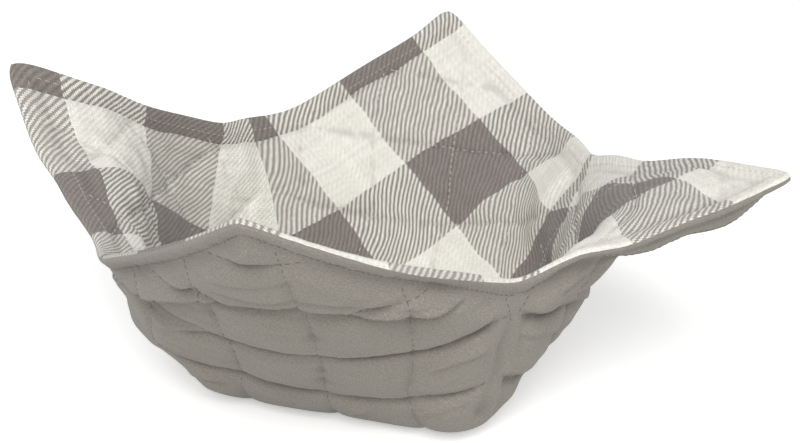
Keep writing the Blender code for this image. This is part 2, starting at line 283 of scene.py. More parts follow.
# Folds of the outer cloth, drawn on the flat square, in millimetres. To the right of its path, as
# one walks along it, the cloth bulges, and to the left it tucks in, each fading over its reach.
outerFolds = {
    "lip": {"path": [(-113, -21), (-110, -59), (-101, -71), (-99, -91), (-88, -101), (-70, -102),
                     (-53, -113), (-42, -117), (-36, -124)], "bulge": (4.0, 8.0), "tuck": (2.7, 4.5)},
    "lipRidge": {"path": [(-115, -55), (-109, -86), (-90, -106), (-63, -111), (-46, -121)],
                 "bulge": (0.9, 5.0), "tuck": (0.6, 4.0)},
    "lipCrease": {"path": [(-114, -90), (-98, -112)], "bulge": (0.6, 5.0), "tuck": (0.5, 3.0)},
    "waist": {"path": [(-98, -20), (-90, -44), (-70, -65.5), (-45, -90.5), (-28, -107.5)],
              "bulge": (1.8, 8.0), "tuck": (1.1, 5.0)},
    "waistLeft": {"path": [(-112, -21), (-88, -47), (-70, -63)], "bulge": (1.0, 5.0), "tuck": (0.7, 4.0)},
    "footLeft": {"path": [(-75, -6), (-66, -22)], "bulge": (0.8, 5.0), "tuck": (0.6, 4.0)},
    "footRight": {"path": [(-33, -45), (-29, -62), (-22, -73)], "bulge": (0.8, 5.0), "tuck": (0.7, 4.0)},
    "seam": {"path": [(-2, -66), (-8, -89), (-16, -101), (-20, -116), (-26, -126)],
             "bulge": (0.5, 7.0), "tuck": (0.5, 5.0)},
    "seamTop": {"path": [(-42, -112), (-37, -126)], "bulge": (0.6, 4.0), "tuck": (0.5, 3.0)},
    "seamArcHigh": {"path": [(-40, -113), (-34, -119), (-31, -126)],
                    "bulge": (0.8, 3.5), "tuck": (0.7, 2.5)},
    "seamArcMiddle": {"path": [(-35, -97), (-29, -106), (-27, -116)],
                      "bulge": (0.9, 4.0), "tuck": (0.8, 3.0)},
    "seamArcLow": {"path": [(-30, -86), (-25, -95), (-19, -103)], "bulge": (0.9, 4.0), "tuck": (0.8, 3.0)},
    "seamArcFoot": {"path": [(-18, -66), (-12, -74), (-8, -80)], "bulge": (0.8, 4.0), "tuck": (0.7, 3.0)},
    "seamFlank": {"path": [(3, -62), (5, -78), (14, -95), (22, -114)],
                  "bulge": (0.3, 5.0), "tuck": (0.9, 7.0)},
    "rightWaist": {"path": [(20, -116), (34, -98), (49, -80)], "bulge": (1.7, 7.0), "tuck": (1.2, 4.0)},
    "rightMiddle": {"path": [(16, -105), (25, -94), (35, -79)], "bulge": (0.8, 4.0), "tuck": (0.7, 3.0)},
    "rightCrease": {"path": [(34, -114), (46, -106)], "bulge": (0.8, 5.0), "tuck": (0.6, 3.0)},
    "rightFoot": {"path": [(5, -90), (10, -84), (22, -71)], "bulge": (1.1, 6.0), "tuck": (0.8, 4.0)},
}


# How each fold is followed: points along its path, passes that round the path's corners, the share
# of its length over which it fades in and out, and where past the path one side blends into the other
folding = {"points": 80, "passes": 30, "fade": 0.17, "blend": (-0.9, 1.1)}


def foldDepth(x, y, folds):
    # how far the folds push a cloth out from the bowl: bulge * exp(-past / reach) to one side of
    # the path and -tuck * exp(past / reach) to the other, past being the distance from the path's
    # nearest point
    total = np.zeros_like(x)
    share = np.linspace(0, 1, folding["points"])
    for fold in folds.values():
        path = np.array(fold["path"], float)
        run = np.append(0, np.cumsum(np.linalg.norm(np.diff(path, axis=0), axis=1)))
        line = np.stack([np.interp(share * run[-1], run, path[:, k]) for k in (0, 1)], -1)
        for step in range(folding["passes"]):
            line[1:-1] = (line[:-2] + 2 * line[1:-1] + line[2:]) / 4
        along = unit(np.gradient(line, axis=0))
        margin = 4 * max(fold["bulge"][1], fold["tuck"][1])
        low, high = line.min(0) - margin, line.max(0) + margin
        near = (x > low[0]) & (x < high[0]) & (y > low[1]) & (y < high[1])
        place = np.stack([x[near], y[near]], -1)
        apart = ((place[:, None] - line[None]) ** 2).sum(-1)
        index = apart.argmin(1)
        offset, heading = place - line[index], along[index]
        past = offset[:, 0] * heading[:, 1] - offset[:, 1] * heading[:, 0]
        far = np.sqrt(apart.min(1)) * np.sign(past)
        reached = share[index] + (offset * heading).sum(1) / run[-1]
        ends = smoothStep(reached, 0, folding["fade"]) * smoothStep(1 - reached, 0, folding["fade"])
        (bulge, up), (tuck, down) = fold["bulge"], fold["tuck"]
        side = smoothStep(past, *folding["blend"])
        push = side * bulge * np.exp(-abs(far) / up) - (1 - side) * tuck * np.exp(-abs(far) / down)
        total[near] += push * ends
    return total


def spread(s, t, places):
    # a bell of the given size round each place of the closed square
    total = 0
    for (atS, atT), reach, size in places.values():
        bell = np.exp(-((s - atS) ** 2 + (t - atT) ** 2) / reach ** 2)
        total = total + bell[..., None] * np.array(size) if np.ndim(size) else total + bell * size
    return total


def lineBend(along, bends):
    return sum(size * np.exp(-((along - at) / wide) ** 2) for at, wide, size in bends)


def quiltDistance(x, y):
    # distance to the nearest line of quilting, one way and the other
    a, b = (x + y) / root2, (x - y) / root2
    a, b = a - lineBend(b, pattern["bendA"]), b - lineBend(a, pattern["bendB"])
    count = [np.interp(place, lines, np.arange(len(lines)))
             for place, lines in ((a, pattern["quiltA"]), (b, pattern["quiltB"]))]
    return [abs(number - np.round(number)) * pattern["quilt"] for number in count]


def padDepths(x, y, seamDistance, rimDistance):
    # liner and outer cloth below the liner's smooth face: a diamond's puff is the product of a
    # rise away from each line, 1 - strength * exp(-distance / valley), with a low dome added;
    # lines that run round the bowl are deep, and those that run up its wall are shallow
    a, b = quiltDistance(x, y)
    frontBack = smoothStep(abs(x + y) - abs(x - y), -padding["sideBlend"], padding["sideBlend"])
    strongA = padding["weakLine"] + (1 - padding["weakLine"]) * frontBack
    strongB = padding["weakLine"] + (1 - padding["weakLine"]) * (1 - frontBack)
    dome = np.sin(pi * a / pattern["quilt"]) ** strongA * np.sin(pi * b / pattern["quilt"]) ** strongB
    puff = (1 - strongA * np.exp(-a / padding["valley"])) * (1 - strongB * np.exp(-b / padding["valley"]))
    puff = (1 - padding["dome"]) * puff + padding["dome"] * dome
    calm = smoothStep(seamDistance, 0, padding["seamReach"]) * smoothStep(rimDistance, *padding["calmRim"])
    puff = puff * calm
    near = np.exp(-np.minimum(a, b) / padding["puckerReach"]) * calm
    small = waves(x, y, padding["puckerWave"], 3) * padding["pucker"]
    slack = waves(x, y, padding["slackWave"], 8) * padding["slack"] * calm
    slack = slack + waves(x, y, padding["rippleWave"], 21) * padding["ripple"] * calm
    groove = np.exp(-((rimDistance - pattern["topstitch"]) / padding["grooveWidth"]) ** 2)
    gathers = waves(x, y, padding["rimPuckerWave"], 41) * padding["rimPucker"]
    at, reach = padding["rimPuckerAt"]
    gathers = gathers * np.exp(-((rimDistance - at) / reach) ** 2)
    liner = padding["linerDip"] * (1 - puff) * smoothStep(rimDistance, *padding["dipRise"])
    liner = liner + padding["linerGroove"] * groove + gathers
    # the left petal's liner is the most wrinkled
    atX, atY, reach = padding["leftPetal"]
    leftPetal = np.exp(-((x - atX) ** 2 + (y - atY) ** 2) / reach ** 2)
    wrinkle = (padding["wrinkle"] + padding["leftWrinkle"] * leftPetal) * calm
    liner = liner + small * near * padding["linerPucker"] + slack
    liner = liner + waves(x, y, padding["wrinkleWave"], 31) * wrinkle
    rise = smoothStep(rimDistance, *padding["rimRise"])
    rim = 2 * padding["rimRadius"] - padding["outerGroove"] * groove + gathers
    quilted = padding["stitched"] + (padding["puffed"] - padding["stitched"]) * puff
    outer = rim * (1 - rise) + quilted * rise
    roundA = waves(x, y, padding["creaseWave"], 11, pi / 4, padding["creaseSpread"])
    roundB = waves(x, y, padding["creaseWave"], 12, -pi / 4, padding["creaseSpread"])
    crease = padding["crease"] * (roundA * frontBack + roundB * (1 - frontBack)) * calm
    folds = foldDepth(x, y, outerFolds) * smoothStep(rimDistance, *padding["foldRise"])
    outer = outer + crease + small * near * padding["outerPucker"] + slack
    outer = outer + folds * smoothStep(seamDistance, 0, padding["seamFold"])
    return liner, np.maximum(outer, liner + padding["thinnest"])


# A fine square grid over the closed cloth, which every piece is then read from. Its smoothing counts
# passes of soften: for the whole cloth, for the darts' seams and for the way the face points.
tableSize = 441
smoothing = {"cloth": 40, "seams": 200, "seamReach": 14, "facing": 12}
# Under the liner's flat base the outer cloth is pressed flat on the table but for the quilting's
# grooves, which ends as the liner rises by these heights
underside = {"flatTo": 0.2, "freeFrom": 7.0, "groove": 1.1, "grooveWidth": 1.8}
plumpRise = (1.5, 6.0)        # distances from the rim between which the fuller cloth comes in
# How far each cloth lies below its own surroundings, 0 to 1 over a range: a mask of painted shade,
# with which the materials darken the cloth in its creases. The passes are those of the surroundings
# and, on the outside, of the cloth itself.
paintedShadeSettings = {"linerPasses": 60, "linerRange": (0.05, 0.8), "outerPasses": (50, 6), "outerRange": (0.05, 1.4)}

ruler = np.linspace(-half, half, tableSize)
gridS, gridT = np.meshgrid(ruler, ruler, indexing="ij")
flatX, flatY = openDarts(*roundCorners(gridS, gridT))
spacing = ruler[1] - ruler[0]
big, small = np.maximum(abs(gridS), abs(gridT)), np.minimum(abs(gridS), abs(gridT))
seamDistance = np.where(big > dartTip, small, np.hypot(small, dartTip - big))
rimDistance = half - big
middleFace = soften(stand(flatX, flatY), smoothing["cloth"])
nearSeam = np.exp(-(seamDistance / smoothing["seamReach"]) ** 2)[..., None]
middleFace = middleFace * (1 - nearSeam) + soften(middleFace, smoothing["seams"]) * nearSeam
middleFace = middleFace + spread(gridS, gridT, pulls)
inwards = unit(np.cross(np.gradient(middleFace, axis=0), np.gradient(middleFace, axis=1)))
inwards = unit(soften(inwards, smoothing["facing"]))
linerDepth, outerDepth = padDepths(flatX, flatY, seamDistance, rimDistance)
outerDepth = outerDepth + spread(gridS, gridT, plump) * smoothStep(rimDistance, *plumpRise)
onTable = 1 - smoothStep(middleFace[..., 2] - shape["baseHeight"], underside["flatTo"],
                         underside["freeFrom"])
toStitches = np.minimum(*quiltDistance(flatX, flatY))
pressed = shape["baseHeight"] - underside["groove"] * np.exp(-toStitches / underside["grooveWidth"])
outerDepth = outerDepth * (1 - onTable) + pressed * onTable
# no point goes through the table: height over the table divided by how far inwards points up
upward = inwards[..., 2]
steep, unbound = 0.2, 99
floorDepth = np.where(upward > steep, middleFace[..., 2] / np.maximum(upward, steep), unbound)
outerDepth = np.minimum(outerDepth, floorDepth)
linerDepth = np.minimum(linerDepth, outerDepth - padding["thinnest"])
linerPaintedShade = smoothStep(linerDepth - soften(linerDepth, paintedShadeSettings["linerPasses"]), *paintedShadeSettings["linerRange"])
nearby, here = (soften(outerDepth, passes) for passes in paintedShadeSettings["outerPasses"])
outerPaintedShade = smoothStep(nearby - here, *paintedShadeSettings["outerRange"])
print("cloth worked out on a grid of", tableSize, "by", tableSize)


def readTable(table, s, t):
    # straight-line reading between the four nearest points of the fine grid
    i = np.clip((s + half) / spacing, 0, tableSize - 1.001)
    j = np.clip((t + half) / spacing, 0, tableSize - 1.001)
    i0, j0 = i.astype(int), j.astype(int)
    fi, fj = i - i0, j - j0
    if table.ndim == 3:
        fi, fj = fi[..., None], fj[..., None]
    low = table[i0, j0] * (1 - fi) + table[i0 + 1, j0] * fi
    high = table[i0, j0 + 1] * (1 - fi) + table[i0 + 1, j0 + 1] * fi
    return low * (1 - fj) + high * fj


def onFace(s, t, depth):
    return readTable(middleFace, s, t) - readTable(inwards, s, t) * depth[..., None]


# Colour and material helpers

def hexColour(text):
    # sRGB hex to linear
    values = np.array([int(text[i:i + 2], 16) / 255 for i in (1, 3, 5)])
    values = np.where(values <= 0.04045, values / 12.92, ((values + 0.055) / 1.055) ** 2.4)
    return (*values, 1.0)


def addNode(tree, kind, inputs=None, **settings):
    # one node, its settings, and each input as a number, a colour or a link
    node = tree.nodes.new(kind)
    for name, value in settings.items():
        setattr(node, name, value)
    for name, value in (inputs or {}).items():
        if isinstance(value, bpy.types.NodeSocket):
            tree.links.new(value, node.inputs[name])
        else:
            node.inputs[name].default_value = value
    return node


def maths(tree, operation, *values):
    return addNode(tree, "ShaderNodeMath", dict(enumerate(values)), operation=operation).outputs[0]


def mixColour(tree, share, first, second, blend="MIX"):
    return addNode(tree, "ShaderNodeMix", {0: share, 6: first, 7: second}, data_type="RGBA",
                   blend_type=blend).outputs[2]


def noise(tree, place, scale, detail):
    return addNode(tree, "ShaderNodeTexNoise", {"Vector": place, "Scale": scale, "Detail": detail}).outputs


def mixed(tree, parts, shares):
    # the sum of two values, each times its share
    return maths(tree, "ADD", *(maths(tree, "MULTIPLY", part, share) for part, share in zip(parts, shares)))


# Every fibre here is cotton, with little gloss and a broad sheen
cotton = {
    "specular": 0.25,
    "sheenRoughness": 0.6,
}


def newMaterial(name, values):
    material = bpy.data.materials.new(name)
    material.use_nodes = True
    shader = material.node_tree.nodes["Principled BSDF"]
    shader.inputs["Roughness"].default_value = values["roughness"]
    shader.inputs["Specular IOR Level"].default_value = cotton["specular"]
    shader.inputs["Sheen Weight"].default_value = values["sheen"]
    shader.inputs["Sheen Roughness"].default_value = cotton["sheenRoughness"]
    return material, material.node_tree, shader


def finishSurface(tree, shader, colour, values, height):
    # the colour and the relief worked out for a material go to its shader
    tree.links.new(colour, shader.inputs["Base Color"])
    bump = addNode(tree, "ShaderNodeBump", {"Strength": values["bump"], "Height": height,
                                            "Distance": values["bumpDepth"]})
    tree.links.new(bump.outputs[0], shader.inputs["Normal"])


# Yarns wander a little, slowly over centimetres and quickly over a few millimetres: the scale of
# each noise per millimetre, and how far it moves them
yarnWander = ((0.06, 3.4), (0.4, 0.5), (1.6, 0.2))


def clothPlace(tree):
    # the flat cloth's own x and y in millimetres, as its wandering yarns have them
    uv = addNode(tree, "ShaderNodeUVMap", uv_map="cloth").outputs[0]
    place = uv
    for scale, size in yarnWander:
        wander = noise(tree, uv, scale, 1.0)["Color"]
        offset = addNode(tree, "ShaderNodeVectorMath", {0: wander, 1: (-0.5, -0.5, -0.5)},
                         operation="ADD").outputs[0]
        offset = addNode(tree, "ShaderNodeVectorMath", {0: offset, "Scale": size},
                         operation="SCALE").outputs[0]
        place = addNode(tree, "ShaderNodeVectorMath", {0: place, 1: offset}, operation="ADD").outputs[0]
    split = addNode(tree, "ShaderNodeSeparateXYZ", {0: place})
    return uv, split.outputs[0], split.outputs[1]


def spanned(tree, value, low, high):
    # 0 to 1 drawn out from low to high
    return addNode(tree, "ShaderNodeMapRange", {0: value, 3: low, 4: high}).outputs[0]


def shaded(tree, colour, *shades):
    # a colour times each of the grey shades
    for shade in shades:
        tint = addNode(tree, "ShaderNodeCombineColor", {0: shade, 1: shade, 2: shade}).outputs[0]
        colour = mixColour(tree, 1.0, colour, tint, "MULTIPLY")
    return colour


def paintedCreaseShade(tree, darkest):
    # painted shade: the colour goes from unchanged to darkest as the cloth lies deeper in a crease
    paintedShadeMask = addNode(tree, "ShaderNodeAttribute", attribute_name="paintedShadeMask").outputs["Fac"]
    return spanned(tree, paintedShadeMask, 1.0, darkest)


def wholeSteps(tree, place, pitch):
    # which yarn, or which check, a place lies in
    return maths(tree, "FLOOR", maths(tree, "DIVIDE", place, pitch))


def yarnRidges(tree, warpUp, x, y, pitch):
    # height across whichever yarn is on top: |sin(pi x / pitch)| to the power 0.6, which is 1 on
    # its crest and 0 between two yarns
    heights = []
    for place in (y, x):
        wave = maths(tree, "ABSOLUTE", maths(tree, "SINE", maths(tree, "MULTIPLY", place, pi / pitch)))
        heights.append(maths(tree, "POWER", wave, 0.6))
    return addNode(tree, "ShaderNodeMix", {0: warpUp, 2: heights[0], 3: heights[1]}).outputs[0]


# Woven check cotton: a two-and-two twill, warp and weft each changing from cream to grey every
# check. The grey yarns cross the cream ones in a diagonal stripe, one yarn in four further on.
checkCotton = {
    "cream": "#EDEBE1",
    "greyDark": "#665E59",
    "greyLight": "#968F89",
    "pitch": 0.625,           # between yarns, sixteen to the centimetre
    "through": 0.14,          # how much of the yarn below shows through the one on top
    "roughness": 0.92,
    "sheen": 0.15,
    "grainScale": 1.7,        # of the noises, per millimetre
    "patchScale": 0.12,
    "fleck": (0.4, 0.75),     # shares of the twill's rib and of the grain in a grey yarn's flecks
    # darkest and lightest of what each yarn, its roundness, the rib, the grain and the wear do; the
    #     # roundness and the rib are painted shade between the yarns and along the twill's ridges
    "yarnShade": (0.9, 1.05),
    "roundShade": (0.72, 1.07),
    "ribShade": (0.96, 1.02),
    "grainShade": (0.84, 1.16),
    "patchShade": (0.92, 1.08),
    # painted shade: how dark the colour is at the deepest of a crease
    "paintedCreaseShade": 0.78,
    "grainHeight": 0.9,
    "bump": 0.55,
    "bumpDepth": 0.00025,
}


def checkMaterial():
    material, tree, shader = newMaterial("wovenCheckCotton", checkCotton)
    uv, x, y = clothPlace(tree)
    pitch = checkCotton["pitch"]
    warp, weft = wholeSteps(tree, x, pitch), wholeSteps(tree, y, pitch)
    turn = maths(tree, "FLOORED_MODULO", maths(tree, "SUBTRACT", warp, weft), 4.0)
    warpUp = maths(tree, "LESS_THAN", turn, 1.5)
    cream = hexColour(checkCotton["cream"])
    # flecks in the grey yarn, drawn out along the raised diagonal of the twill
    diagonal = maths(tree, "MULTIPLY", maths(tree, "SUBTRACT", x, y), pi / (2 * pitch))
    rib = maths(tree, "MULTIPLY_ADD", maths(tree, "SINE", diagonal), 0.5, 0.5)
    grain = noise(tree, uv, checkCotton["grainScale"], 3.0)[0]
    patchy = noise(tree, uv, checkCotton["patchScale"], 2.0)[0]
    fleck = mixed(tree, (rib, grain), checkCotton["fleck"])
    grey = mixColour(tree, fleck, hexColour(checkCotton["greyDark"]), hexColour(checkCotton["greyLight"]))
    halves = []
    for place, shift in ((x, pattern["checkX"]), (y, pattern["checkY"])):
        column = wholeSteps(tree, maths(tree, "SUBTRACT", place, shift), pattern["check"])
        halves.append(maths(tree, "FLOORED_MODULO", column, 2.0))
    greyWarp = maths(tree, "LESS_THAN", halves[0], 0.5)
    greyWeft = maths(tree, "GREATER_THAN", halves[1], 0.5)
    warpShade = addNode(tree, "ShaderNodeTexWhiteNoise", {"W": warp}, noise_dimensions="1D").outputs[0]
    weftShade = addNode(tree, "ShaderNodeTexWhiteNoise", {"W": weft}, noise_dimensions="1D").outputs[0]
    warpColour = mixColour(tree, greyWarp, cream, grey)
    weftColour = mixColour(tree, greyWeft, cream, grey)
    over = spanned(tree, warpUp, checkCotton["through"], 1 - checkCotton["through"])
    colour = mixColour(tree, over, weftColour, warpColour)
    yarn = addNode(tree, "ShaderNodeMix", {0: warpUp, 2: weftShade, 3: warpShade}).outputs[0]
    ridges = yarnRidges(tree, warpUp, x, y, pitch)
    # the roundness and rib shades are painted shade between the yarns and along the twill's ridges, the
    # last painted shade in the creases
    shades = [spanned(tree, value, *checkCotton[name + "Shade"]) for name, value in
              (("yarn", yarn), ("round", ridges), ("rib", rib), ("grain", grain), ("patch", patchy))]
    colour = shaded(tree, colour, *shades, paintedCreaseShade(tree, checkCotton["paintedCreaseShade"]))
    height = maths(tree, "ADD", ridges, maths(tree, "MULTIPLY", grain, checkCotton["grainHeight"]))
    finishSurface(tree, shader, colour, checkCotton, maths(tree, "ADD", height, rib))
    return material


# Plain woven cotton, warm grey. Its yarns are drawn a little coarser than such a cloth's, or they
# would not show.
greyCotton = {
    "light": "#969187",
    "dark": "#716C64",
    "pitch": 0.8,
    "roughness": 0.95,
    "sheen": 0.2,
    "slubScale": 0.9,         # of the noises, per millimetre
    "speckScale": 1.5,
    # the roundness share of the colour is painted shade between the yarns; the slubs are the yarn's own
    # tone
    "blend": (0.4, 0.6),      # shares of the yarns' roundness and of the slubs in the colour
    "speckShade": (0.6, 1.4),
    # painted shade: how dark the colour is at the deepest of a crease
    "paintedCreaseShade": 0.36,
    "bump": 0.5,
    "bumpDepth": 0.0003,
}


def greyMaterial():
    material, tree, shader = newMaterial("plainGreyCotton", greyCotton)
    uv, x, y = clothPlace(tree)
    pitch = greyCotton["pitch"]
    warp, weft = wholeSteps(tree, x, pitch), wholeSteps(tree, y, pitch)
    warpUp = maths(tree, "FLOORED_MODULO", maths(tree, "ADD", warp, weft), 2.0)
    ridges = yarnRidges(tree, warpUp, x, y, pitch)
    slub = noise(tree, uv, greyCotton["slubScale"], 5.0)[0]
    speck = noise(tree, uv, greyCotton["speckScale"], 3.0)[0]
    # the yarns' roundness in the colour is painted shade between them, the slubs and specks the yarn's own
    # tone, the last shade painted shade in the creases
    blend = mixed(tree, (ridges, slub), greyCotton["blend"])
    colour = mixColour(tree, blend, hexColour(greyCotton["dark"]), hexColour(greyCotton["light"]))
    colour = shaded(tree, colour, spanned(tree, speck, *greyCotton["speckShade"]),
                    paintedCreaseShade(tree, greyCotton["paintedCreaseShade"]))
    finishSurface(tree, shader, colour, greyCotton, maths(tree, "ADD", blend, speck))
    return material


# Cotton sewing thread: two plies twisted, matt
thread = {
    "cream": "#E4E1D8",
    "pale": "#CFCBC1",
    "grey": "#625E58",
    "shadow": 0.75,           # how dark the twist's hollows are
    "twistScale": 2500.0,     # per metre
    "roughness": 0.8,
    "sheen": 0.1,
}


def threadMaterial(name, colour):
    material, tree, shader = newMaterial(name, thread)
    place = addNode(tree, "ShaderNodeTexCoord").outputs["Object"]
    twist = noise(tree, place, thread["twistScale"], 1.0)[0]
    base = hexColour(colour)
    shadow = tuple(value * thread["shadow"] for value in base[:3]) + (1.0,)
    tree.links.new(mixColour(tree, twist, shadow, base), shader.inputs["Base Color"])
    return material


# Felted wadding: loose white fibre, sealed between the cloths
wadding = {
    "dark": "#DAD8D2",
    "light": "#F4F2EC",
    "roughness": 1.0,
    "sheen": 0.3,
    "fibreScale": 900.0,      # per metre
    "bump": 0.5,
    "bumpDepth": 0.0003,
    "margin": 7.0,            # from the rim
    "linerGap": 0.8,          # from the liner's face, and from the outer cloth's
    "outerGap": 1.2,
    "points": 121,            # along each side
}


def waddingMaterial():
    material, tree, shader = newMaterial("cottonWadding", wadding)
    place = addNode(tree, "ShaderNodeTexCoord").outputs["Object"]
    fibre = noise(tree, place, wadding["fibreScale"], 4.0)[0]
    colour = mixColour(tree, fibre, hexColour(wadding["dark"]), hexColour(wadding["light"]))
    finishSurface(tree, shader, colour, wadding, fibre)
    return material


# Mesh helpers

def meshObject(name, points, faces, material):
    mesh = bpy.data.meshes.new(name)
    mesh.from_pydata((points * mm).tolist(), [], faces.tolist())
    mesh.polygons.foreach_set("use_smooth", np.ones(len(faces), bool))
    mesh.materials.append(material)
    mesh.update()
    item = bpy.data.objects.new(name, mesh)
    bpy.context.scene.collection.objects.link(item)
    return item


def gridFaces(rows, columns, flip):
    # one quad between each four neighbours of a grid
    index = np.arange(rows * columns).reshape(rows, columns)
    quads = np.stack([index[:-1, :-1], index[1:, :-1], index[1:, 1:], index[:-1, 1:]], -1).reshape(-1, 4)
    return quads[:, ::-1] if flip else quads


def ringPlaces(inner, step, rollSteps):
    # places along one half axis: even steps to the start of the rolled rim, then the roll's own steps
    flat = np.arange(0, inner, step)
    flat = flat * inner / (flat[-1] + step)
    roll = inner + np.linspace(0, 1, rollSteps + 1)
    places = np.concatenate([flat, roll])
    return np.concatenate([-places[:0:-1], places])


# How far over the rolled rim the liner comes, in degrees: just past the crest, further over along
# the right half of the front petal, and less far along the front of the right one. Each of those two
# is a place along the front edge of the closed square, how far round it, and by how much.
rimSeam = {
    "turn": 98.0,
    "front": (-40, 34, 58.0),
    "right": (85, 42, -42.0),
    "inwards": 20.0,          # how far in from the edge the two fade out
    "wave": 60.0,             # a slow wave along the seam, and its size in degrees
    "waveTurn": 5.73,
}


def seamTurn(s, t):
    turn = rimSeam["turn"] + rimSeam["waveTurn"] * waves(s, t, rimSeam["wave"], 5)
    for at, reach, more in (rimSeam["front"], rimSeam["right"]):
        turn = turn + more * np.exp(-(((s - at) / reach) ** 2 + ((t + half) / rimSeam["inwards"]) ** 2))
    return np.radians(turn)


# How the rim rolls: both cloths are laid on one round of small radius, the liner from the inside
# over the crest to the seam, the outer cloth from the outside up to it
def clothPiece(name, material, outer, step=0.85, rollSteps=8):
    radius = padding["rimRadius"]
    inner = half - radius
    places = ringPlaces(inner, step, rollSteps)
    s, t = np.meshgrid(places, places, indexing="ij")
    ring = np.maximum(abs(s), abs(t))
    share = np.clip(ring - inner, 0, 1)
    onRim = np.minimum(1, inner / np.maximum(ring, 1e-6))
    seam = seamTurn(s * onRim, t * onRim)
    angle = pi - (pi - seam) * share if outer else seam * share
    reach = np.where(share > 0, inner + radius * np.sin(angle), ring)
    scale = reach / np.maximum(ring, 1e-6)
    cs, ct = s * scale, t * scale
    depths = outerDepth if outer else linerDepth
    crest = readTable(depths, s * onRim, t * onRim) + radius * ((-1 if outer else 1) - np.cos(angle))
    depth = np.where(share > 0, crest, readTable(depths, cs, ct))
    points = onFace(cs, ct, depth)
    count = len(places)
    faces = gridFaces(count, count, outer)
    item = meshObject(name, points.reshape(-1, 3), faces, material)
    # the flat cloth's own coordinates at every face corner, taken on that face's side of each dart
    faceSide = np.where(places[:-1] + places[1:] < 0, -1.0, 1.0)
    sideX = np.repeat(faceSide[:, None], count - 1, 1)
    sideY = sideX.T
    arc = radius * share * (pi - seam if outer else seam)
    along = np.where(share > 0, inner + arc, ring) / np.maximum(ring, 1e-6)
    us, ut = s * along, t * along
    corners = []
    for di, dj in ((0, 0), (1, 0), (1, 1), (0, 1)):
        a = us[di:count - 1 + di, dj:count - 1 + dj]
        b = ut[di:count - 1 + di, dj:count - 1 + dj]
        corners.append(np.stack(openDarts(a, b, sideX, sideY), -1).reshape(-1, 2))
    if outer:
        corners = corners[::-1]
    # the mask of painted shade in the creases, kept on each point for the materials
    paintedShadeMask = readTable(outerPaintedShade if outer else linerPaintedShade, cs, ct)
    item.data.attributes.new("paintedShadeMask", "FLOAT", "POINT").data.foreach_set("value", paintedShadeMask.ravel())
    uv = item.data.uv_layers.new(name="cloth")
    uv.data.foreach_set("uv", np.stack(corners, 1).astype(np.float32).ravel())
    return item


# Stitches: each is a short tube of thread that comes out of the cloth and goes back in
def stitchPiece(name, material, starts, ends, depthTable, size):
    # along one stitch u runs 0 to 1; its height over the cloth is lift * sin(pi u) ** arch less a
    # share of its thickness, so that both ends are sunk
    thick, lift, sign = size["thick"], size["lift"], size["side"]
    u = np.linspace(0, 1, len(stitching["taper"]))[None, :]
    x = starts[:, :1] + (ends[:, :1] - starts[:, :1]) * u
    y = starts[:, 1:] + (ends[:, 1:] - starts[:, 1:]) * u
    s, t = closeDarts(x, y)
    depth = readTable(depthTable, s, t)
    height = lift * np.sin(pi * u) ** stitching["arch"] - thick * stitching["sunk"]
    centre = onFace(s, t, depth - sign * height)
    up = readTable(inwards, s, t) * sign
    run = unit(np.gradient(centre, axis=1))
    side = unit(np.cross(run, up))
    up = np.cross(side, run)
    turn = np.arange(6) * pi / 3
    girth = thick * np.array(stitching["taper"])[None, :, None, None]
    ring = np.cos(turn)[:, None] * side[:, :, None, :] + np.sin(turn)[:, None] * up[:, :, None, :]
    points = centre[:, :, None, :] + ring * girth
    count = len(points)
    # six rings of six points, and a cap at each end
    block = np.arange(36).reshape(6, 6)
    nextRing = np.roll(block, -1, axis=1)
    quads = np.stack([block[:-1], nextRing[:-1], nextRing[1:], block[1:]], -1).reshape(-1, 4)
    caps = np.array([[5, 4, 3, 2], [5, 2, 1, 0], [30, 31, 32, 33], [30, 33, 34, 35]])
    quads = np.concatenate([quads[:, ::-1], caps[:, ::-1]])
    faces = (quads[None] + 36 * np.arange(count)[:, None, None]).reshape(-1, 4)
    return meshObject(name, points.reshape(-1, 3), faces, material)


stitching = {
    "length": 1.9,            # of one quilting stitch on the face
    "pitch": 2.8,
    "thread": {"thick": 0.14, "lift": 0.1},
    "rimThread": {"thick": 0.12, "lift": 0.06},
    "rimLength": 1.8,
    "rimPitch": 2.6,
    "taper": (0.45, 0.95, 1.0, 1.0, 0.95, 0.45),  # thickness along one stitch
    "arch": 0.6,              # lower rises more steeply out of the cloth
    "sunk": 0.6,              # share of the thickness by which a stitch's ends are sunk
    "clearRim": 0.5,          # quilting keeps this far from the topstitching and from a dart's lips
    "clearDart": 0.6,
    "rimStart": 3.0,          # from a corner of the topstitching to its first stitch
}


def quiltStitches():
    # both families of lines, cut into stitches, less those in a dart, in the rim or off the cloth
    starts, ends = [], []
    reach = half * root2
    steps = np.arange(-reach, reach, stitching["pitch"])
    for lines, bends, along, across in ((pattern["quiltA"], pattern["bendA"], (1, -1), (1, 1)),
                                        (pattern["quiltB"], pattern["bendB"], (1, 1), (1, -1))):
        along, across = np.array(along) / root2, np.array(across) / root2
        for line in lines:
            for points, place in ((starts, steps), (ends, steps + stitching["length"])):
                points.append(along * place[:, None] + across * (line + lineBend(place, bends))[:, None])
    starts, ends = np.concatenate(starts), np.concatenate(ends)
    keep = np.ones(len(starts), bool)
    for points in (starts, ends):
        big = np.max(abs(points), axis=1)
        small = np.min(abs(points), axis=1)
        keep &= big < half - pattern["topstitch"] - stitching["clearRim"]
        keep &= small > dartOpening(big) + stitching["clearDart"]
    return starts[keep], ends[keep]


